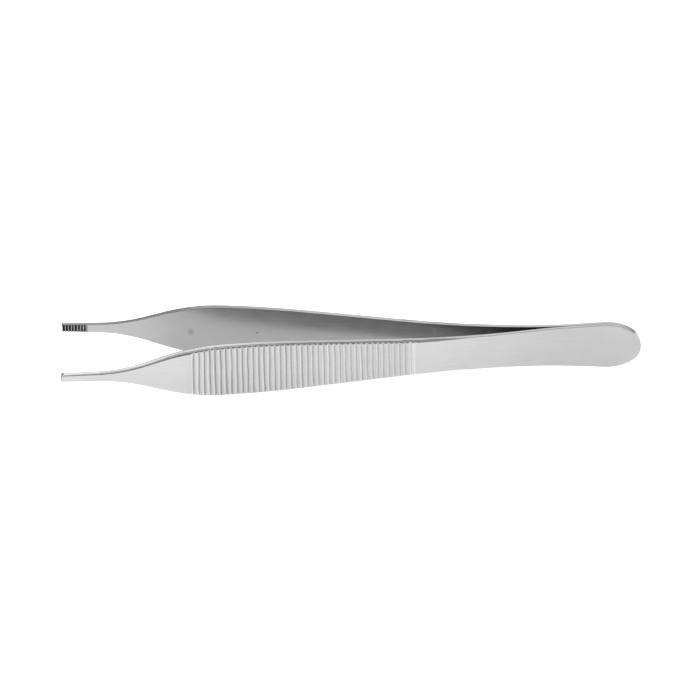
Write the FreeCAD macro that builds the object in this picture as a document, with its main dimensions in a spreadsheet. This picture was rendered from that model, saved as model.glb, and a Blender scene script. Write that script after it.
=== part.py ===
import FreeCAD, Part
import math
import os
import Sketcher

# Thumb forceps 120 mm long: two forged spring arms, alike but for their teeth,
# welded face to face at the butt.  Millimetres.
#
# Each arm is drawn in its own coordinates: X runs from the butt to the tip,
# Y from the joint between the arms outwards, Z across the arm, and the middle
# of its width lies at Z = 0.  One arm is turned about Z and the other about Y
# into the frame of the whole: +X towards the butt, Y across the two arms and
# +Z up, with the edges of the thumb grips resting on Z = 0.

DIMENSIONS = [
    # Runs along the arm, butt to tip; together they are the overall length.
    ("butt_run", 4.43, "butt end to the corner where the rear sides begin"),
    ("rear_run", 31.68, "rear sides, narrowing to the waist"),
    ("flare_run", 40.0, "waist to the crest of the thumb grip"),
    ("crest_run", 16.37, "crest to the shoulder"),
    ("taper_run", 14.91, "shoulder to the neck"),
    ("neck_run", 12.61, "neck to the tip"),
    # Widths across the arm at the corners of that outline.
    ("nose_width", 4.38, "butt end, where its round meets the diagonal"),
    ("butt_width", 10.16, "butt corner"),
    ("waist_width", 6.75, "waist corner"),
    ("grip_width", 11.48, "thumb grip, from crest to shoulder"),
    ("neck_width", 1.98, "neck corner"),
    ("tip_width", 1.5, "tip"),
    # Length that each corner's rounding takes from its two sides.
    ("butt_blend", 3.2, "butt corner"),
    ("waist_blend", 13.6, "waist"),
    ("crest_ease", 3.7, "crest, which a short straight eases instead"),
    ("shoulder_blend", 6.9, "shoulder"),
    ("neck_blend", 5.2, "neck"),
    ("tip_blend", 0.28, "tip"),
    # Side view: the weld, the spring leg and the gap between the arms.
    ("weld_length", 13.4, "flat faces that are welded"),
    ("bow_blend", 4.9, "bow where the arms part, half its length"),
    ("crest_gap", 12.98, "between the arms at the crest"),
    ("crest_blend", 12.0, "slight bend of the inner face there, half its length"),
    ("neck_gap", 19.0, "between the arms at the neck"),
    ("tip_gap", 20.0, "between the arms at the tips, behind the teeth"),
    ("bend_blend", 6.6, "bend at the neck, half its length"),
    # Side view: thickness of one arm.
    ("butt_thickness", 0.79, "welded butt"),
    ("spring_thickness", 1.0, "spring leg at the waist, where the ramp begins"),
    ("heel_thickness", 1.46, "top of the ramp"),
    ("grip_thickness", 1.62, "thumb grip at the shoulder"),
    ("neck_thickness", 1.12, "neck"),
    ("tip_thickness", 1.05, "tip, behind the teeth"),
    ("ramp_run", 11.2, "ramp from the spring leg up to the grip"),
    ("heel_blend", 2.0, "rounding at the top of the ramp"),
    # Rounding of the outer edges, which begins at the waist; behind it they are crisp.
    ("waist_edge", 0.12, "waist"),
    ("grip_edge", 0.55, "thumb grip"),
    ("neck_edge", 0.34, "neck"),
    ("tip_edge", 0.2, "tip"),
    # Transverse grooves of the thumb grip.
    ("groove_pitch", 1.13, "groove to groove"),
    ("groove_width", 0.42, "width at the surface"),
    ("groove_depth", 0.21, "depth"),
    ("groove_margin", 1.0, "plain strip between the ramp and the last groove"),
    # Teeth of the jaws.
    ("jaw_length", 5.2, "toothed land at the tip"),
    ("land_height", 0.12, "land above the inner face"),
    ("tooth_pitch", 0.62, "notch to notch"),
    ("tooth_width", 0.5, "width of a notch at the surface"),
    ("tooth_depth", 0.26, "depth of a notch"),
    ("tooth_start", 0.5, "tip to the middle of the first notch"),
    # Waste round the blank, cut away by the outline.
    ("stock", 1.5, "beyond each end and each side of the arm"),
]

doc = FreeCAD.newDocument("ThumbForceps")


def add_sheet():
    """The driving dimensions, one named cell each."""
    sheet = doc.addObject("Spreadsheet::Sheet", "Dimensions")
    for row, (name, value, meaning) in enumerate(DIMENSIONS, start=1):
        sheet.set(f"A{row}", name)
        sheet.set(f"B{row}", str(value))
        sheet.set(f"C{row}", meaning)
        sheet.setAlias(f"B{row}", name)
    doc.recompute()
    return sheet


SHEET = add_sheet()


def cell(name):
    """The expression that reads one named dimension."""
    return f"Dimensions.{name}"


def total(*names):
    """The sum of named dimensions."""
    return "(" + " + ".join(cell(name) for name in names) + ")"


def half(name):
    return f"({cell(name)} / 2)"


def value_of(expression):
    """The number that an expression stands for now."""
    result = SHEET.evalExpression(expression)
    return float(getattr(result, "Value", result))


# Stations along the arm, measured from the butt end.
BUTT_AT = cell("butt_run")
WAIST_AT = total("butt_run", "rear_run")
CREST_AT = total("butt_run", "rear_run", "flare_run")
SHOULDER_AT = total("butt_run", "rear_run", "flare_run", "crest_run")
NECK_AT = total("butt_run", "rear_run", "flare_run", "crest_run", "taper_run")
TIP_AT = total("butt_run", "rear_run", "flare_run", "crest_run", "taper_run", "neck_run")
BOW_AT = total("weld_length", "bow_blend")
GRIP_AT = total("butt_run", "rear_run", "ramp_run")
LAND_AT = f"({TIP_AT} - {cell('jaw_length')})"

# Slopes of the inner face, which bends a little at the crest and again at the neck.
LEG_SLOPE = f"({half('crest_gap')} / ({CREST_AT} - {BOW_AT}))"
TAPER_SLOPE = f"(({half('neck_gap')} - {half('crest_gap')}) / ({NECK_AT} - {CREST_AT}))"
JAW_SLOPE = f"(({half('tip_gap')} - {half('neck_gap')}) / {cell('neck_run')})"
JAW_ANGLE = f"atan({JAW_SLOPE})"


def leg_height(station):
    """Height of the inner face at a station between the bow and the crest."""
    return f"({LEG_SLOPE} * ({station} - {BOW_AT}))"


def taper_height(station):
    """Height of the inner face at a station between the crest and the neck."""
    return f"({half('crest_gap')} + {TAPER_SLOPE} * ({station} - {CREST_AT}))"


def jaw_height(station):
    """Height of the inner face at a station between the neck and the tip."""
    return f"({half('neck_gap')} + {JAW_SLOPE} * ({station} - {NECK_AT}))"


# The outer face of the thumb grip is flat from the top of the ramp to the shoulder.
HEEL_HEIGHT = f"({leg_height(GRIP_AT)} + {cell('heel_thickness')})"
SHOULDER_HEIGHT = f"({taper_height(SHOULDER_AT)} + {cell('grip_thickness')})"
GRIP_ANGLE = f"atan(({SHOULDER_HEIGHT} - {HEEL_HEIGHT}) / ({SHOULDER_AT} - {GRIP_AT}))"
FLARE_SLOPE = f"(({half('grip_width')} - {half('waist_width')}) / {cell('flare_run')})"


# Tests of faces and edges: nearly nothing, and the least outward lean of an outer face.
SEAM = 0.001
OUTWARDS = 0.5


class Outline:
    """Straight sides and tangent arcs in a sketch, given by its corners.

    A corner is (x, y, blend): expressions for its place and for the length
    that its rounding takes from each of its two sides, or None where it stays
    sharp.  Two roundings on one side never reach past each other.  With
    round_start the first side is left out: it shrinks into the second corner's
    rounding, whose centre then lies on the X axis.
    """

    # Most of a side that the roundings at its two ends may take up.
    MOST_TAKEN = 0.96

    def __init__(self, sketch, corners, round_start=False):
        self.sketch = sketch
        self.corners = corners
        self.round_start = round_start
        self.place = [(value_of(corner[0]), value_of(corner[1])) for corner in corners]
        self.reach = [self.limited_reach(i) for i in range(len(corners))]
        self.sides = {}
        self.draw()

    def side_length(self, i):
        start, end = self.pair(i)
        return f"hypot({end[0]} - {start[0]}; {end[1]} - {start[1]})"

    def pair(self, i):
        count = len(self.corners)
        return self.corners[i % count], self.corners[(i + 1) % count]

    def limited_reach(self, i):
        """Blend of a corner, cut back where its neighbours leave less room."""
        blend = self.corners[i][2]
        if blend is None:
            return None
        if self.round_start and i == 1:
            return self.side_length(0)
        shares = ["1"]
        for side, other in ((i - 1, i - 1), (i, i + 1)):
            other_blend = self.corners[other % len(self.corners)][2]
            if self.round_start and other == 1:
                room = f"({self.side_length(side)} - {self.side_length(0)})"
                shares.append(f"{self.MOST_TAKEN} * {room} / {blend}")
            else:
                wanted = blend if other_blend is None else f"({blend} + {other_blend})"
                shares.append(f"{self.MOST_TAKEN} * {self.side_length(side)} / {wanted}")
        return f"{blend} * min({'; '.join(shares)})"

    def bind(self, constraint, expression):
        index = self.sketch.addConstraint(constraint)
        self.sketch.setExpression(f"Constraints[{index}]", expression)

    def along(self, i, j, distance):
        """Point on the side from corner i towards corner j."""
        (x0, y0), (x1, y1) = self.place[i], self.place[j]
        share = distance / math.hypot(x1 - x0, y1 - y0)
        return FreeCAD.Vector(x0 + (x1 - x0) * share, y0 + (y1 - y0) * share, 0)

    def draw(self):
        count = len(self.corners)
        reach = [0.0 if r is None else value_of(r) for r in self.reach]
        for i in range(1 if self.round_start else 0, count):
            j = (i + 1) % count
            line = Part.LineSegment(self.along(i, j, reach[i]), self.along(j, i, reach[j]))
            self.sides[i] = self.sketch.addGeometry(line, False)
        for i in range(count):
            if self.reach[i] is None:
                self.sharp_corner(i)
            else:
                self.round_corner(i, reach[i])

    def sharp_corner(self, i):
        before, after = self.sides.get((i - 1) % len(self.corners)), self.sides.get(i)
        if after is None:
            geometry, end = before, 2
        else:
            geometry, end = after, 1
        if before is not None and after is not None:
            self.sketch.addConstraint(Sketcher.Constraint("Coincident", before, 2, after, 1))
        self.fix(geometry, end, i)

    def fix(self, geometry, end, i):
        """Ties a point of the sketch to its place from the origin."""
        for kind, expression, number in zip(
            ("DistanceX", "DistanceY"), self.corners[i], self.place[i]
        ):
            constraint = Sketcher.Constraint(kind, geometry, end, number)
            self.bind(constraint, expression)

    def round_corner(self, i, reach):
        count = len(self.corners)
        before, after = (i - 1) % count, i
        start, end = self.along(i, before, reach), self.along(i, (i + 1) % count, reach)
        corner = FreeCAD.Vector(self.place[i][0], self.place[i][1], 0)
        to_start, to_end = start - corner, end - corner
        opening = to_start.getAngle(to_end)
        radius = reach * math.tan(opening / 2)
        middle = (to_start + to_end).normalize()
        centre = corner + middle * (radius / math.sin(opening / 2))
        angles = [math.atan2(p.y - centre.y, p.x - centre.x) for p in (start, end)]
        leftwards = to_end.cross(to_start).z > 0
        if not leftwards:
            angles.reverse()
        circle = Part.Circle(centre, FreeCAD.Vector(0, 0, 1), radius)
        arc = self.sketch.addGeometry(Part.ArcOfCircle(circle, *angles), False)
        first, last = (1, 2) if leftwards else (2, 1)
        point = self.sketch.addGeometry(Part.Point(corner), True)
        self.fix(point, 1, i)
        add = self.sketch.addConstraint
        add(Sketcher.Constraint("Tangent", arc, last, self.sides[after], 1))
        add(Sketcher.Constraint("PointOnObject", point, 1, self.sides[after]))
        if before in self.sides:
            add(Sketcher.Constraint("Tangent", self.sides[before], 2, arc, first))
            add(Sketcher.Constraint("PointOnObject", point, 1, self.sides[before]))
            self.bind(Sketcher.Constraint("Distance", point, 1, arc, last, reach), self.reach[i])
        else:
            closing = self.sides[(before - 1) % count]
            add(Sketcher.Constraint("Coincident", closing, 2, arc, first))
            add(Sketcher.Constraint("PointOnObject", arc, 3, -1))


def new_sketch(body, name, plane_role):
    """A sketch on one of the body's own origin planes."""
    sketch = body.newObject("Sketcher::SketchObject", name)
    plane = next(f for f in body.Origin.OriginFeatures if f.Role == plane_role)
    sketch.AttachmentSupport = [(plane, "")]
    sketch.MapMode = "FlatFace"
    return sketch


def side_corners():
    """Side view of an arm: inner face towards the tip, outer face back."""
    past_tip = f"({TIP_AT} + {cell('stock')})"
    butt = f"(0 - {cell('stock')})"
    land_foot = f"({LAND_AT} - {cell('land_height')})"
    land = f"({jaw_height(LAND_AT)} - {cell('land_height')})"
    land_end = f"({jaw_height(past_tip)} - {cell('land_height')})"
    tip_outer = f"({jaw_height(past_tip)} + {cell('tip_thickness')})"
    return [
        (butt, "0", None),
        (BOW_AT, "0", cell("bow_blend")),
        (CREST_AT, half("crest_gap"), cell("crest_blend")),
        (NECK_AT, half("neck_gap"), cell("bend_blend")),
        (land_foot, jaw_height(land_foot), None),
        (LAND_AT, land, None),
        (past_tip, land_end, None),
        (past_tip, tip_outer, None),
        (NECK_AT, f"({half('neck_gap')} + {cell('neck_thickness')})", cell("bend_blend")),
        (SHOULDER_AT, SHOULDER_HEIGHT, None),
        (GRIP_AT, HEEL_HEIGHT, cell("heel_blend")),
        (WAIST_AT, f"({leg_height(WAIST_AT)} + {cell('spring_thickness')})", None),
        (BOW_AT, cell("butt_thickness"), cell("bow_blend")),
        (butt, cell("butt_thickness"), None),
    ]


def waste_corners():
    """What lies outside the arm's outline on one side of its middle."""
    past_tip = f"({TIP_AT} + 2 * {cell('stock')})"
    past_butt = f"(0 - 2 * {cell('stock')})"
    past_side = f"({half('grip_width')} + 2 * {cell('stock')})"
    ease = cell("crest_ease")
    return [
        ("0", "0", None),
        ("0", half("nose_width"), half("nose_width")),
        (BUTT_AT, half("butt_width"), cell("butt_blend")),
        (WAIST_AT, half("waist_width"), cell("waist_blend")),
        (f"({CREST_AT} - {ease})", f"({half('grip_width')} - {FLARE_SLOPE} * {ease})", None),
        (f"({CREST_AT} + {ease})", half("grip_width"), None),
        (SHOULDER_AT, half("grip_width"), cell("shoulder_blend")),
        (NECK_AT, half("neck_width"), cell("neck_blend")),
        (TIP_AT, half("tip_width"), cell("tip_blend")),
        (TIP_AT, "0", None),
        (past_tip, "0", None),
        (past_tip, past_side, None),
        (past_butt, past_side, None),
        (past_butt, "0", None),
    ]


def add_blank(name):
    """The forged arm before its edges are rounded and its grooves are cut."""
    body = doc.addObject("PartDesign::Body", f"{name}_blank")
    side = new_sketch(body, f"{name}_side", "XY_Plane")
    Outline(side, side_corners())
    pad = body.newObject("PartDesign::Pad", f"{name}_pad")
    pad.Profile = side
    pad.SideType = "Symmetric"
    pad.setExpression("Length", f"{cell('grip_width')} + 2 * {cell('stock')}")
    doc.recompute()
    waste = new_sketch(body, f"{name}_waste", "XZ_Plane")
    Outline(waste, waste_corners(), round_start=True)
    trim = body.newObject("PartDesign::Pocket", f"{name}_trim")
    trim.Profile = waste
    trim.Type = "ThroughAll"
    trim.SideType = "Symmetric"
    doc.recompute()
    both = body.newObject("PartDesign::Mirrored", f"{name}_trim_both")
    both.Originals = [trim]
    middle = next(f for f in body.Origin.OriginFeatures if f.Role == "XY_Plane")
    both.MirrorPlane = (middle, [""])
    body.Tip = both
    doc.recompute()
    return body


def edge_radius(station):
    """Rounding of the outer edges, which grows up the ramp and fades to the tip."""
    stops = [
        (value_of(WAIST_AT), value_of(cell("waist_edge"))),
        (value_of(GRIP_AT), value_of(cell("grip_edge"))),
        (value_of(SHOULDER_AT), value_of(cell("grip_edge"))),
        (value_of(NECK_AT), value_of(cell("neck_edge"))),
        (value_of(TIP_AT), value_of(cell("tip_edge"))),
    ]
    if station <= stops[0][0]:
        return stops[0][1]
    for (x0, r0), (x1, r1) in zip(stops, stops[1:]):
        if station <= x1:
            return r0 + (r1 - r0) * (station - x0) / (x1 - x0)
    return stops[-1][1]


def face_normal(face, point):
    u, v = face.Surface.parameter(point)
    return face.normalAt(u, v)


def is_outer_edge(shape, edge):
    """True where a side wall ahead of the waist meets the arm's outer face."""
    point = edge.valueAt((edge.FirstParameter + edge.LastParameter) / 2)
    if point.x < value_of(WAIST_AT) + SEAM:
        return False
    across = [face_normal(face, point).y for face in shape.ancestorsOfType(edge, Part.Face)]
    outer = [y for y in across if y > OUTWARDS]
    wall = [y for y in across if abs(y) < SEAM]
    return len(outer) == 1 and len(wall) == 1


def goes_round(edge):
    """True where an edge points tipwards on the side Z > 0, or buttwards on the other."""
    start, end = edge.firstVertex(False), edge.lastVertex(False)
    return (end.X - start.X) * (start.Z + end.Z) > 0


def edge_radii(shape):
    """Numbers of the outer edges, with the radius at the start and the end of each.

    They make one contour round the tip, which runs the way its first edge points,
    and start and end are the contour's.
    """
    numbered = enumerate(shape.Edges, start=1)
    outer = [(number, edge) for number, edge in numbered if is_outer_edge(shape, edge)]
    contour_goes_round = goes_round(outer[0][1])
    radii = []
    for number, edge in outer:
        ends = [edge_radius(vertex.X) for vertex in (edge.firstVertex(False), edge.lastVertex(False))]
        if goes_round(edge) != contour_goes_round:
            ends.reverse()
        radii.append((number, *ends))
    return radii


def add_joined(name, kind, base, tool):
    """A solid made from two others by a common, a cut or a fuse."""
    made = doc.addObject(f"Part::{kind}", name)
    made.Base = base
    made.Tool = tool
    if kind == "Fuse":
        made.Refine = True
    doc.recompute()
    return made


def add_rounding(name, blank):
    """Outer edges rounded from the waist to the tip; the leg behind is crisp."""
    ahead = doc.addObject("Part::Box", f"{name}_ahead")
    ahead.setExpression("Length", f"{TIP_AT} - {WAIST_AT} + {cell('stock')}")
    ahead.setExpression("Width", cell("tip_gap"))
    ahead.setExpression("Height", f"2 * {cell('grip_width')}")
    ahead.setExpression("Placement.Base.x", WAIST_AT)
    ahead.setExpression("Placement.Base.y", f"0 - {cell('stock')}")
    ahead.setExpression("Placement.Base.z", f"0 - {cell('grip_width')}")
    doc.recompute()
    front = add_joined(f"{name}_front", "Common", blank, ahead)
    leg = add_joined(f"{name}_leg", "Cut", blank, ahead)
    rounding = doc.addObject("Part::Fillet", f"{name}_rounding")
    rounding.Base = front
    rounding.Edges = edge_radii(front.Shape)
    doc.recompute()
    return add_joined(f"{name}_forged", "Fuse", leg, rounding)


def polygon(sketch, corners):
    Outline(sketch, [(x, y, None) for x, y in corners])


def add_notches(body, name, at, count, pitch, width, depth, angle, into):
    """A row of V notches right across the arm, along a straight face.

    at is the first notch's place on the face, angle the direction of the row
    and into the side of the face that holds the metal: 1 leftwards, -1 right.
    """
    lip = cell("stock")
    spread = f"({width} / 2 * ({depth} + {lip}) / {depth})"

    def point(along, above):
        x = f"({at[0]} + ({along}) * cos({angle}) - ({above}) * sin({angle}))"
        y = f"({at[1]} + ({along}) * sin({angle}) + ({above}) * cos({angle}))"
        return x, y

    above = f"({-into} * {lip})"
    below = f"({into} * {depth})"
    sketch = new_sketch(body, f"{name}_section", "XY_Plane")
    polygon(sketch, [point("0", below), point(f"0 - {spread}", above), point(spread, above)])
    notch = body.newObject("PartDesign::Pocket", f"{name}_cut")
    notch.Profile = sketch
    notch.Type = "ThroughAll"
    notch.SideType = "Symmetric"
    doc.recompute()
    row = body.newObject("PartDesign::LinearPattern", f"{name}_row")
    row.Originals = [notch]
    row.Direction = (sketch, ["Edge2"])
    row.Mode = "Spacing"
    row.setExpression("Offset", pitch)
    row.setExpression("Occurrences", count)
    body.Tip = row
    doc.recompute()
    return row


def add_grooves(name, body):
    """Transverse grooves over the whole outer face of the thumb grip."""
    room = f"(({SHOULDER_AT} - {GRIP_AT} - {cell('groove_margin')}) / cos({GRIP_ANGLE}))"
    add_notches(
        body,
        f"{name}_groove",
        (SHOULDER_AT, SHOULDER_HEIGHT),
        f"floor({room} / {cell('groove_pitch')}) + 1",
        cell("groove_pitch"),
        cell("groove_width"),
        cell("groove_depth"),
        f"({GRIP_ANGLE} + 180 deg)",
        1,
    )


def add_teeth(name, body, start):
    """Notches across the raised land inside the tip, start being the first one."""
    station = f"({TIP_AT} - {start})"
    first = (station, f"({jaw_height(station)} - {cell('land_height')})")
    room = f"(({cell('jaw_length')} - {start} - {half('tooth_width')}) / cos({JAW_ANGLE}))"
    add_notches(
        body,
        f"{name}_tooth",
        first,
        f"floor({room} / {cell('tooth_pitch')}) + 1",
        cell("tooth_pitch"),
        cell("tooth_width"),
        cell("tooth_depth"),
        f"({JAW_ANGLE} + 180 deg)",
        -1,
    )


def add_arm(name, tooth_start, turned_about):
    """A finished arm: the rounded blank, grooved outside and toothed inside."""
    rounded = add_rounding(name, add_blank(name))
    body = doc.addObject("PartDesign::Body", name)
    body.Label = name
    body.BaseFeature = rounded
    doc.recompute()
    add_grooves(name, body)
    add_teeth(name, body, tooth_start)
    body.Placement = FreeCAD.Placement(
        FreeCAD.Vector(0, 0, 0), FreeCAD.Rotation(FreeCAD.Vector(*turned_about), 180)
    )
    body.setExpression("Placement.Base.x", f"{TIP_AT} / 2")
    body.setExpression("Placement.Base.z", half("grip_width"))
    doc.recompute()
    return body


def check(arms):
    """Stops on a failed object, a bad shape or a cut that removed nothing."""
    for item in doc.Objects:
        if "Invalid" in item.State or "Error" in item.State:
            raise RuntimeError(f"{item.Label} failed: {item.State}")
        if item.isDerivedFrom("Sketcher::SketchObject") and not item.FullyConstrained:
            raise RuntimeError(f"{item.Label} is not fully constrained")
    for arm in arms:
        if arm.Shape.isNull() or not arm.Shape.isValid() or len(arm.Shape.Solids) != 1:
            raise RuntimeError(f"{arm.Label} is not one valid solid")
        if abs(doc.getObject(f"{arm.Name}_forged").Shape.CenterOfGravity.z) > SEAM:
            raise RuntimeError(f"the edges of {arm.Label} are not rounded alike")
        steps = [f"{arm.Name}_{step}" for step in ("pad", "trim", "trim_both", "forged")]
        steps += [f"{arm.Name}_{cut}_{step}" for cut in ("groove", "tooth") for step in ("cut", "row")]
        volumes = [doc.getObject(step).Shape.Volume for step in steps]
        if any(after >= before for before, after in zip(volumes, volumes[1:])):
            raise RuntimeError(f"a cut of {arm.Label} removed nothing: {volumes}")


# The arms' teeth are half a pitch apart, so that they mesh as the jaws close.
arms = [
    add_arm("left_arm", f"({cell('tooth_start')} + {half('tooth_pitch')})", (0, 0, 1)),
    add_arm("right_arm", cell("tooth_start"), (0, 1, 0)),
]
check(arms)
os.makedirs("parts", exist_ok=True)
for arm in arms:
    arm.Shape.exportStep(f"parts/{arm.Label}.step")
    print(arm.Label, round(arm.Shape.Volume, 2), "mm3", len(arm.Shape.Faces), "faces")
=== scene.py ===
import math

import bmesh
import bpy
import numpy as np
from mathutils import Matrix, Vector, noise


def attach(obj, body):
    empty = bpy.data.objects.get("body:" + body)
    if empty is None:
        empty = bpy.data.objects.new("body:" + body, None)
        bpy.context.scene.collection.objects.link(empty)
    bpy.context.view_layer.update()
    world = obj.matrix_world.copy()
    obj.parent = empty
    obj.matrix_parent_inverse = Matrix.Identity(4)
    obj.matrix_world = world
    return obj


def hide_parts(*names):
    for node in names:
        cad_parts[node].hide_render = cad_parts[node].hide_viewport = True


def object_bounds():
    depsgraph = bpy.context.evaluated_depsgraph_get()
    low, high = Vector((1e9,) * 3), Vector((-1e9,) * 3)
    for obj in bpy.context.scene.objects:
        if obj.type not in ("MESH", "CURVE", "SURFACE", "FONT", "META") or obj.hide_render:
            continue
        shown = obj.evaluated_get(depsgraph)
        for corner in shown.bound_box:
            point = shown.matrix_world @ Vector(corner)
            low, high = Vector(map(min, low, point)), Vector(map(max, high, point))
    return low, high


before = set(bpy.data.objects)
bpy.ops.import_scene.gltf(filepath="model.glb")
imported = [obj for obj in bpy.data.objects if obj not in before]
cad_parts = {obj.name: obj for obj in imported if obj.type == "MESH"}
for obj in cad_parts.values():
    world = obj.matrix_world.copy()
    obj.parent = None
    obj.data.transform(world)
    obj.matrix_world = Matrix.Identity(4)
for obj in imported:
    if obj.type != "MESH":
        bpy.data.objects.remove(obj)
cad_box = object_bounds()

MM = 0.001

# The photograph: its side in pixels, its scale, and where the part's middle lies in it.
PICTURE_SIDE = 700
PIXELS_PER_METRE = 4832.0
MIDDLE_IN_PICTURE = (351.05, 348.17)
# The camera's azimuth, elevation and roll in degrees, its distance and depth of view in metres.
CAMERA_TURN = (1.09, 30.0, 1.39)
CAMERA_DISTANCE = 0.6
CAMERA_CLIP = (0.01, 20.0)

# Radiance of the room by height above the horizon in degrees, for each side that gives light,
# then overhead, and the even level below the horizon.
ROOM_SIDES = {
    ("Y", 1.0): [(0, 0.0), (15, 0.1), (30, 1.6), (50, 0.1), (70, 0.0)],
    ("Y", -1.0): [(0, 0.3), (70, 0.3), (90, 0.0)],
    ("X", 1.0): [(0, 0.7), (15, 2.5), (30, 3.4), (50, 1.6), (70, 0.3), (90, 0.0)],
    ("X", -1.0): [(0, 0.9), (70, 0.9), (90, 0.0)],
}
ZENITH = [(0, 0.0), (70, 0.0), (90, 2.0)]
BELOW = 1.3
SMALLEST_LEVEL = 0.001

FLOOR_RADIUS = 3.0
FLOOR_PAINT = {
    "Base Color": (0.86, 0.86, 0.86, 1.0),
    "Roughness": 0.9,
    "Specular IOR Level": 0.0,
    "Emission Color": (1.0, 1.0, 1.0, 1.0),
    "Emission Strength": 0.75,
}

# The steel: its tone and roughness, and what grain and mottling add to them.
STEEL_TONE = 0.55
DARKEST_TONE = 0.05
STREAK_TONE = 0.07
CLOUD_TONE = 0.05
STEEL_ROUGHNESS = 0.22
ROUGHNESS_SPREAD = 0.08
GRAIN_STRETCH = (60.0, 2500.0, 2500.0)
MOTTLE_SCALE = 260.0
GRAIN_RELIEF = 0.12
# Lengths in millimetres: depth of the grain, easing of the edges, width of the neck's painted
# dark rim, and how far round a spot the steel counts as closed in for the painted shade in
# cuts.
GRAIN_DEPTH = 0.02
EDGE_EASING = 0.13
RIM_WIDTH = 0.40
CUT_REACH = 0.45
SOFT_SAMPLES = 8
# Painted shade: the eased edges are darkened by how far their normal turns.
EDGE_SHADE = -1.3

# Levels that change along the part: from X to X in millimetres, level before and after.
FRONT_TONE = (-36, -28, -0.02, -0.09)
REAR_TONE = (12.5, 12.8, 0.0, 0.05)
BUTT_TONE = (15, 50, 0.0, -0.07)
# Painted shade on the inner faces between the arms, deeper towards the butt.
INNER_SHADE = (-46, -34, -0.12, -0.19)
# Painted light on the near arm's upper walls and painted shade on the far arm's, fading out
# towards the butt.
UPPER_WALL_LIGHT_AND_SHADE = (-30, -5, -0.18, 0.0)
# Painted highlight on the near neck's upper wall.
NECK_HIGHLIGHT = (-44, -35, 0.20, 0.0)
# Painted shade: a dark rim along the edges of the near neck's upper wall.
RIM_SHADE = (-40, -25, -1.9, 0.0)
# Painted light on the ridges' flanks that face the butt.
FLANK_LIGHT = (-30, 10, 0.08, 0.05)
GROOVE_WALL_TONE = (-30, 10, 0.06, 0.18)
# Painted shade in the cuts, darkest in the jaws.
CUT_SHADE = (-54.7, -54.3, -0.85, -0.10)
# Painted shade on the walls of the jaws' notches.
NOTCH_SHADE = (-54.7, -54.3, -0.35, 0.0)
GRIP_START = (-33.1, -32.9, 0.0, 1.0)
GRIP_END = (12.7, 12.8, 1.0, 0.0)
# The painted highlight on top of the ramp: its place, half width and tone.
RAMP_TOP = 13.1
RAMP_TOP_HALF_WIDTH = 0.4
RAMP_TOP_HIGHLIGHT = 0.08
# Slope along X at which a face begins to count, and counts in full, as a flank or a wall.
FLANK_SLOPE = (0.1, 0.2)
GROOVE_WALL_SLOPE = (0.35, 0.5)
NOTCH_WALL_SLOPE = (0.25, 0.5)
# Least share of the normal that makes a face outer or inner, and an upper wall.
FACING = 0.5
UPWARD = 0.7
# Small marks on the inner face of the far arm: place, size along X and Z, change of tone.
MARKS = [
    ((-33.2, 5.5), (0.75, 0.9), -0.10),
    ((-19.5, 5.8), (0.22, 0.3), -0.30),
    ((17.2, 7.7), (0.12, 1.1), 0.14),
]

# The grooves of the thumb grip in millimetres along X: the first and the spacing, and how
# many there are with the shallow one on the top of the ramp, which only this mesh has.
FIRST_GROOVE = -32.48
GROOVE_SPACING = 1.1238
GROOVES = 41
LAST_GROOVE = FIRST_GROOVE + (GROOVES - 1) * GROOVE_SPACING
GROOVE_HALF_WIDTH = 0.21
LAST_GROOVE_DEPTH = 0.17
# Rounding of the outer edges and how far below the crest a vertex may lie to be moved.
EDGE_ROUNDING = 0.55
DEEPEST_MOVED = EDGE_ROUNDING + 0.1
# Fall of the crowns to the grooves, its unevenness, and how fast both ends take it up.
CROWN_FALL = 0.11
UNEVENNESS = 0.5
UNEVEN_RATE = 0.1
END_RATE = 2
# Waviness along X, its rates along X and Z, and the row of the noise that it is taken from.
WAVINESS = 0.13
WAVE_RATES = (0.9, 0.2)
WAVE_ROW = 7.3
# Cuts along the grip, and places across it, from its middle, for the outer face.
CUTS_PER_RIDGE = 10
CROSS_CUTS = (-5.0, -4.0, -3.0, -2.0, -1.0, 0.0, 1.0, 2.0, 3.0, 4.0, 5.0)
MIDDLE_HEIGHT = (cad_box[0][2] + cad_box[1][2]) / 2 / MM
X_AXIS, Z_AXIS = 0, 2
WALL_FACING = 0.9
WELD_DISTANCE = 0.0005
CUT_TOLERANCE = 0.00001
STATION_TOLERANCE = 0.001
SHARP_ANGLE = 24


def clear_look():
    """Plain output: no film curve between the light and the picture."""
    view = bpy.context.scene.view_settings
    view.view_transform = "Standard"
    view.look = "None"
    view.exposure = 0.0
    view.gamma = 1.0


def add_camera():
    """The photograph's long lens from 30 degrees above, as a parallel camera."""
    azimuth, elevation, roll = map(math.radians, CAMERA_TURN)
    low, high = cad_box
    middle = (low + high) / 2
    right = Vector((math.cos(azimuth), math.sin(azimuth), 0.0))
    back = Vector((
        math.sin(azimuth) * math.cos(elevation),
        -math.cos(azimuth) * math.cos(elevation),
        math.sin(elevation),
    ))
    up = back.cross(right)
    turned_right = right * math.cos(roll) - up * math.sin(roll)
    turned_up = back.cross(turned_right)
    across = (PICTURE_SIDE / 2 - MIDDLE_IN_PICTURE[0]) / PIXELS_PER_METRE
    upward = (MIDDLE_IN_PICTURE[1] - PICTURE_SIDE / 2) / PIXELS_PER_METRE
    data = bpy.data.cameras.new("camera")
    data.type = "ORTHO"
    data.ortho_scale = PICTURE_SIDE / PIXELS_PER_METRE
    data.clip_start, data.clip_end = CAMERA_CLIP
    camera = bpy.data.objects.new("camera", data)
    bpy.context.scene.collection.objects.link(camera)
    turn = Matrix((turned_right, turned_up, back)).transposed()
    camera.rotation_mode = "QUATERNION"
    camera.rotation_quaternion = turn.to_quaternion()
    offset = turned_right * across + turned_up * upward
    camera.location = middle + offset + back * CAMERA_DISTANCE
    bpy.context.scene.camera = camera


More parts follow.
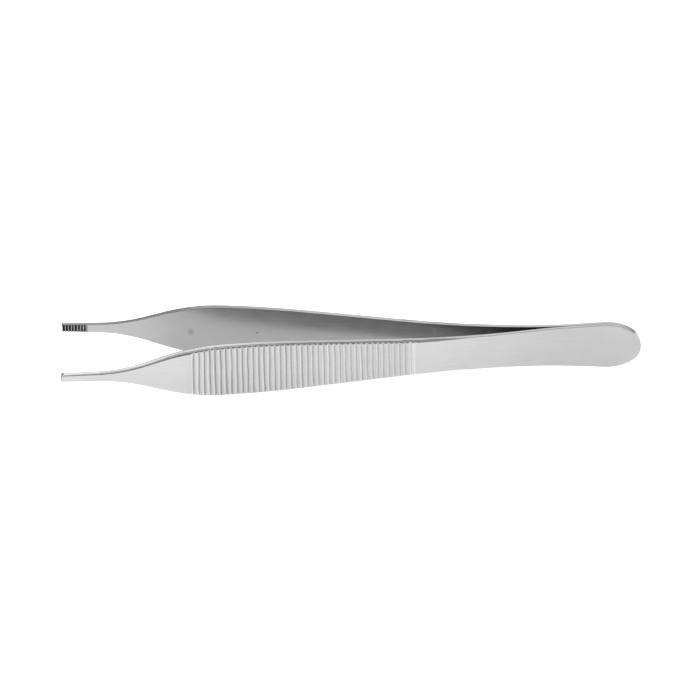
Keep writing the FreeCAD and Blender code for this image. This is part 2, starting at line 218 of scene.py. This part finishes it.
def node(tree, kind, **settings):
    """A new shader node, with its settings and unlinked inputs."""
    made = tree.nodes.new(kind)
    for name, value in settings.items():
        if hasattr(made, name):
            setattr(made, name, value)
        else:
            made.inputs[name.replace("_", " ")].default_value = value
    return made


def calculate(tree, operation, *terms):
    """A Math node whose inputs are the terms: numbers or other nodes' outputs."""
    made = node(tree, "ShaderNodeMath", operation=operation)
    for socket, term in zip(made.inputs, terms):
        if isinstance(term, (int, float)):
            socket.default_value = term
        else:
            tree.links.new(term, socket)
    return made.outputs[0]


def between(tree, value, start, end, at_start, at_end):
    """A smooth change of level from start to end."""
    made = node(
        tree, "ShaderNodeMapRange", interpolation_type="SMOOTHSTEP",
        From_Min=start, From_Max=end, To_Min=at_start, To_Max=at_end,
    )
    tree.links.new(value, made.inputs["Value"])
    return made.outputs[0]


def along(tree, spot, change):
    """One of the levels that change along the part."""
    start, end, at_start, at_end = change
    return between(tree, spot.outputs["X"], start * MM, end * MM, at_start, at_end)


def add_glow(tree, height, glows):
    """Straight lines through (degrees, level) stops, none of them below nought."""
    peak = max(level for degrees, level in glows)
    ramp = node(tree, "ShaderNodeValToRGB")
    tree.links.new(height, ramp.inputs[0])
    elements = ramp.color_ramp.elements
    elements.remove(elements[1])
    for number, (degrees, level) in enumerate(glows):
        element = elements[0] if number == 0 else elements.new(degrees / 90)
        element.position = degrees / 90
        element.color = (level / peak, level / peak, level / peak, 1.0)
    return calculate(tree, "MULTIPLY", ramp.outputs[0], peak)


def add_room():
    """A soft surround: bright low on the butt's side, a band behind, a little elsewhere."""
    world = bpy.data.worlds.new("studio")
    world.use_nodes = True
    bpy.context.scene.world = world
    tree = world.node_tree
    tree.nodes.clear()
    place = node(tree, "ShaderNodeTexCoord")
    parts = node(tree, "ShaderNodeSeparateXYZ")
    tree.links.new(place.outputs["Generated"], parts.inputs[0])
    upward = parts.outputs["Z"]
    height = calculate(tree, "DIVIDE", calculate(tree, "ARCSINE", upward), math.pi / 2)
    level = calculate(tree, "SUBTRACT", 1.0, calculate(tree, "POWER", upward, 2.0))
    level = calculate(tree, "MAXIMUM", calculate(tree, "SQRT", level), SMALLEST_LEVEL)
    below = calculate(tree, "LESS_THAN", upward, 0.0)
    total = calculate(tree, "MULTIPLY_ADD", below, BELOW, add_glow(tree, height, ZENITH))
    for (axis, sign), glows in ROOM_SIDES.items():
        facing = calculate(tree, "MULTIPLY", parts.outputs[axis], sign)
        facing = calculate(tree, "MAXIMUM", calculate(tree, "DIVIDE", facing, level), 0.0)
        facing = calculate(tree, "POWER", facing, 2.0)
        total = calculate(tree, "MULTIPLY_ADD", add_glow(tree, height, glows), facing, total)
    light = node(tree, "ShaderNodeBackground")
    out = node(tree, "ShaderNodeOutputWorld")
    tree.links.new(total, light.inputs["Strength"])
    tree.links.new(light.outputs[0], out.inputs[0])


def add_floor():
    """A plain white surface, lit a little from below like a light table."""
    bpy.ops.mesh.primitive_circle_add(vertices=96, radius=FLOOR_RADIUS, fill_type="NGON")
    floor = bpy.context.object
    floor.name = "floor"
    paint = bpy.data.materials.new("white_table")
    paint.use_nodes = True
    skin = paint.node_tree.nodes["Principled BSDF"]
    for name, value in FLOOR_PAINT.items():
        skin.inputs[name].default_value = value
    floor.data.materials.append(paint)


def small_marks(tree, spot, normal, tone):
    """The far arm's spot, speck and short scratch, added to the tone."""
    facing = calculate(tree, "LESS_THAN", normal.outputs["Y"], -FACING)
    beyond = calculate(tree, "GREATER_THAN", spot.outputs["Y"], 0.0)
    inner = calculate(tree, "MULTIPLY", facing, beyond)
    for middle, size, change in MARKS:
        squares = []
        for axis, at, reach in zip("XZ", middle, size):
            away = calculate(tree, "SUBTRACT", spot.outputs[axis], at * MM)
            away = calculate(tree, "DIVIDE", away, reach * MM)
            squares.append(calculate(tree, "POWER", away, 2.0))
        nearness = calculate(tree, "SUBTRACT", 1.0, calculate(tree, "ADD", *squares))
        nearness = calculate(tree, "MAXIMUM", nearness, 0.0)
        nearness = calculate(tree, "MULTIPLY", nearness, inner)
        tone = calculate(tree, "MULTIPLY_ADD", nearness, change, tone)
    return tone


def ridge_flank_light(tree, spot, normal):
    """Painted light on the ridges' flanks that face the butt, and grooves that lose their
    contrast towards the butt.
    """
    slope = normal.outputs["X"]
    # Flanks that face the butt get painted light.
    flanks = between(tree, slope, *FLANK_SLOPE, 0.0, 1.0)
    flanks = calculate(tree, "MULTIPLY", flanks, along(tree, spot, FLANK_LIGHT))
    walls = between(tree, calculate(tree, "ABSOLUTE", slope), *GROOVE_WALL_SLOPE, 0.0, 1.0)
    walls = calculate(tree, "MULTIPLY", walls, along(tree, spot, GROOVE_WALL_TONE))
    after_start = along(tree, spot, GRIP_START)
    within = calculate(tree, "MULTIPLY", after_start, along(tree, spot, GRIP_END))
    return calculate(tree, "MULTIPLY", calculate(tree, "ADD", flanks, walls), within)


def eased_edges(tree, surface, radius):
    """The normal with edges eased by a radius in millimetres, and its turn as 1 - cosine."""
    soft_edge = node(tree, "ShaderNodeBevel", samples=SOFT_SAMPLES, Radius=radius * MM)
    turn = node(tree, "ShaderNodeVectorMath", operation="DOT_PRODUCT")
    tree.links.new(soft_edge.outputs[0], turn.inputs[0])
    tree.links.new(surface.outputs["Normal"], turn.inputs[1])
    return soft_edge.outputs[0], calculate(tree, "SUBTRACT", 1.0, turn.outputs["Value"])


def outer_tone_and_light(tree, spot, normal):
    """Change of tone on the outer faces, with painted light on the ridges and a painted
    highlight on the ramp top.
    """
    # Painted highlight along the top of the ramp.
    distance = calculate(tree, "SUBTRACT", spot.outputs["X"], RAMP_TOP * MM)
    distance = calculate(tree, "ABSOLUTE", distance)
    nearness = calculate(tree, "SUBTRACT", RAMP_TOP_HALF_WIDTH * MM, distance)
    change = between(tree, nearness, 0.0, RAMP_TOP_HALF_WIDTH * MM, 0.0, RAMP_TOP_HIGHLIGHT)
    for tone in (FRONT_TONE, REAR_TONE, BUTT_TONE):
        change = calculate(tree, "ADD", change, along(tree, spot, tone))
    return calculate(tree, "ADD", change, ridge_flank_light(tree, spot, normal))


def paint_upper_wall_light_and_shade(tree, surface, spot, normal, side):
    """Painted light on the near and painted shade on the far upper walls, and the near neck's
    painted highlight and painted dark rim.
    """
    upper_wall = calculate(tree, "GREATER_THAN", normal.outputs["Z"], UPWARD)
    change = calculate(tree, "MULTIPLY", upper_wall, side)
    # Painted light on the near upper walls, painted shade on the far ones.
    change = calculate(tree, "MULTIPLY", change, along(tree, spot, UPPER_WALL_LIGHT_AND_SHADE))
    near = calculate(tree, "LESS_THAN", spot.outputs["Y"], 0.0)
    # Painted highlight and painted dark rim on the near neck.
    turn = eased_edges(tree, surface, RIM_WIDTH)[1]
    rim = calculate(tree, "SQRT", calculate(tree, "MAXIMUM", turn, 0.0))
    rim = calculate(tree, "MULTIPLY", rim, along(tree, spot, RIM_SHADE))
    neck = calculate(tree, "ADD", along(tree, spot, NECK_HIGHLIGHT), rim)
    near_wall = calculate(tree, "MULTIPLY", upper_wall, near)
    return calculate(tree, "MULTIPLY_ADD", near_wall, neck, change)


def tone_and_light_by_place(tree, surface, spot, normal):
    """Change of tone by place: on the outer faces, painted shade on the inner faces and painted
    light and shade on the upper walls.
    """
    side = calculate(tree, "SIGN", spot.outputs["Y"])
    outward = calculate(tree, "MULTIPLY", normal.outputs["Y"], side)
    outside = calculate(tree, "GREATER_THAN", outward, FACING)
    inside = calculate(tree, "LESS_THAN", outward, -FACING)
    # Painted shade on the inner faces between the arms.
    change = calculate(tree, "MULTIPLY", inside, along(tree, spot, INNER_SHADE))
    walls = paint_upper_wall_light_and_shade(tree, surface, spot, normal, side)
    change = calculate(tree, "ADD", change, walls)
    outer = outer_tone_and_light(tree, spot, normal)
    return calculate(tree, "MULTIPLY_ADD", outside, outer, change)


def paint_shade_in_cuts(tree, spot, normal, tone):
    """Painted shade in the cuts, darkest in the jaws, where the walls of the notches get
    painted shade too.
    """
    cuts = node(
        tree, "ShaderNodeAmbientOcclusion", samples=SOFT_SAMPLES, Distance=CUT_REACH * MM,
    )
    # Painted shade where the steel is closed in.
    closed_in = calculate(tree, "SUBTRACT", 1.0, cuts.outputs["AO"])
    tone = calculate(tree, "MULTIPLY_ADD", closed_in, along(tree, spot, CUT_SHADE), tone)
    slope = calculate(tree, "ABSOLUTE", normal.outputs["X"])
    walls = between(tree, slope, *NOTCH_WALL_SLOPE, 0.0, 1.0)
    return calculate(tree, "MULTIPLY_ADD", walls, along(tree, spot, NOTCH_SHADE), tone)


def satin_steel():
    """Satin stainless steel: lengthwise grain, broad mottling, painted shade on the eased edges
    and in the cuts.
    """
    material = bpy.data.materials.new("satin_stainless")
    material.use_nodes = True
    tree = material.node_tree
    skin = tree.nodes["Principled BSDF"]
    skin.inputs["Metallic"].default_value = 1.0
    place = node(tree, "ShaderNodeTexCoord")
    surface = node(tree, "ShaderNodeNewGeometry")
    spot = node(tree, "ShaderNodeSeparateXYZ")
    normal = node(tree, "ShaderNodeSeparateXYZ")
    tree.links.new(place.outputs["Object"], spot.inputs[0])
    tree.links.new(surface.outputs["True Normal"], normal.inputs[0])
    stretch = node(tree, "ShaderNodeMapping", Scale=GRAIN_STRETCH)
    grain = node(tree, "ShaderNodeTexNoise", Scale=1.0, Detail=4.0, Roughness=0.6)
    mottle = node(tree, "ShaderNodeTexNoise", Scale=MOTTLE_SCALE, Detail=3.0, Roughness=0.55)
    tree.links.new(place.outputs["Object"], stretch.inputs["Vector"])
    tree.links.new(stretch.outputs[0], grain.inputs["Vector"])
    tree.links.new(place.outputs["Object"], mottle.inputs["Vector"])
    streaks = calculate(tree, "SUBTRACT", grain.outputs["Fac"], 0.5)
    clouds = calculate(tree, "SUBTRACT", mottle.outputs["Fac"], 0.5)
    soft_normal, turn = eased_edges(tree, surface, EDGE_EASING)
    tone = calculate(tree, "MULTIPLY_ADD", streaks, STREAK_TONE, STEEL_TONE)
    tone = calculate(tree, "MULTIPLY_ADD", clouds, CLOUD_TONE, tone)
    # Painted shade along the eased edges.
    tone = calculate(tree, "MULTIPLY_ADD", turn, EDGE_SHADE, tone)
    tone = calculate(tree, "ADD", tone, tone_and_light_by_place(tree, surface, spot, normal))
    # Painted shade in the cuts and on the notch walls.
    tone = paint_shade_in_cuts(tree, spot, normal, tone)
    tone = small_marks(tree, spot, normal, tone)
    tone = calculate(tree, "MAXIMUM", tone, DARKEST_TONE)
    rough = calculate(tree, "MULTIPLY_ADD", streaks, ROUGHNESS_SPREAD, STEEL_ROUGHNESS)
    rough = calculate(tree, "MULTIPLY_ADD", clouds, ROUGHNESS_SPREAD, rough)
    tree.links.new(tone, skin.inputs["Base Color"])
    tree.links.new(rough, skin.inputs["Roughness"])
    bump = node(tree, "ShaderNodeBump", Strength=GRAIN_RELIEF, Distance=GRAIN_DEPTH * MM)
    tree.links.new(grain.outputs["Fac"], bump.inputs["Height"])
    tree.links.new(soft_normal, bump.inputs["Normal"])
    tree.links.new(bump.outputs[0], skin.inputs["Normal"])
    return material


def grip_stations():
    """Cuts along the grip, from half a ridge before its first groove to one after the last."""
    first = FIRST_GROOVE - 0.5 * GROOVE_SPACING
    count = (GROOVES + 1) * CUTS_PER_RIDGE
    return [first + step * GROOVE_SPACING / CUTS_PER_RIDGE for step in range(count + 1)]


def cut_faces(mesh, faces, axis, places):
    """Cuts the faces at places along an axis, given in rising order."""
    def reach(face):
        spread = [vertex.co[axis] for vertex in face.verts]
        return min(spread), max(spread)

    across = Vector((float(axis == X_AXIS), 0.0, float(axis == Z_AXIS)))
    waiting = sorted(faces, key=reach, reverse=True)
    crossing = []
    for place in places:
        while waiting and reach(waiting[-1])[0] < place:
            crossing.append(waiting.pop())
        crossing = [face for face in crossing if reach(face)[1] > place]
        pieces = dict.fromkeys(crossing)
        for face in crossing:
            pieces.update(dict.fromkeys(face.edges))
            pieces.update(dict.fromkeys(face.verts))
        cut = bmesh.ops.bisect_plane(
            mesh, geom=list(pieces), dist=CUT_TOLERANCE,
            plane_co=across * place, plane_no=across,
        )
        crossing = [piece for piece in cut["geom"] if isinstance(piece, bmesh.types.BMFace)]


def finer_mesh(arm):
    """The arm's own surface in millimetres, welded and cut finely over the grip."""
    mesh = bmesh.new()
    mesh.from_mesh(arm.data)
    mesh.transform(Matrix.Scale(1 / MM, 4))
    bmesh.ops.remove_doubles(mesh, verts=mesh.verts, dist=WELD_DISTANCE)
    mesh.normal_update()
    stations = grip_stations()
    cut_faces(mesh, mesh.faces[:], X_AXIS, stations)
    outer = [
        face for face in mesh.faces
        if stations[0] < face.calc_center_median().x < stations[-1]
        and face.normal.y * face.calc_center_median().y > 0
        and abs(face.normal.z) < WALL_FACING
    ]
    cut_faces(mesh, outer, Z_AXIS, [MIDDLE_HEIGHT + place for place in CROSS_CUTS])
    bmesh.ops.dissolve_degenerate(mesh, edges=mesh.edges[:], dist=WELD_DISTANCE)
    return mesh, stations


def grip_frame(mesh, stations):
    """Half width and outer height of the arm at the middle of every ridge."""
    crests = stations[::CUTS_PER_RIDGE]
    spots = np.array([vertex.co[:] for vertex in mesh.verts])
    widths, heights = [], []
    for crest in crests:
        here = spots[np.abs(spots[:, 0] - crest) < STATION_TOLERANCE]
        widths.append(np.abs(here[:, 2] - MIDDLE_HEIGHT).max())
        heights.append(np.abs(here[:, 1]).max())
    return crests, widths, heights


def grind_ridges(mesh, stations):
    """Crowned, slightly wavy ridges on the outer face, fading over its rounded edges."""
    crests, widths, heights = grip_frame(mesh, stations)
    start, end = stations[0], stations[-1]
    for vertex in mesh.verts:
        x, y, z = vertex.co
        if not start < x < end:
            continue
        if np.interp(x, crests, heights) - abs(y) > DEEPEST_MOVED:
            continue
        inset = np.interp(x, crests, widths) - abs(z - MIDDLE_HEIGHT)
        share = min(max(inset / EDGE_ROUNDING, 0.0), 1.0)
        share *= share * (3 - 2 * share)
        turns = (x - FIRST_GROOVE) / GROOVE_SPACING
        ends = min(1.0, END_RATE * (x - start), END_RATE * (end - x))
        uneven = 1.0 + UNEVENNESS * noise.noise(Vector((turns, y, z * UNEVEN_RATE)))
        crown = 0.5 + 0.5 * math.cos(2 * math.pi * turns)
        fall = CROWN_FALL * uneven * crown * ends
        fall += LAST_GROOVE_DEPTH * max(0.0, 1 - abs(x - LAST_GROOVE) / GROOVE_HALF_WIDTH)
        row = math.copysign(WAVE_ROW, y)
        wave = noise.noise(Vector((x * WAVE_RATES[0], row, z * WAVE_RATES[1])))
        vertex.co.y = math.copysign(abs(y) - fall * share, y)
        vertex.co.x = x + WAVINESS * wave * share * ends


def add_ground_arm(name, steel):
    """The arm as the solid has it, with the ridges ground as the photo shows them."""
    mesh, stations = finer_mesh(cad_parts[name])
    grind_ridges(mesh, stations)
    mesh.transform(Matrix.Scale(MM, 4))
    data = bpy.data.meshes.new(name + "_ground")
    mesh.to_mesh(data)
    mesh.free()
    data.shade_smooth()
    data.set_sharp_from_angle(angle=math.radians(SHARP_ANGLE))
    data.materials.append(steel)
    arm = bpy.data.objects.new(name + "_ground", data)
    bpy.context.scene.collection.objects.link(arm)
    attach(arm, "root")
    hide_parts(name)


def add_arms():
    """Both arms in the same steel."""
    steel = satin_steel()
    for name in ("left_arm", "right_arm"):
        add_ground_arm(name, steel)


clear_look()
add_camera()
add_room()
add_floor()
add_arms()
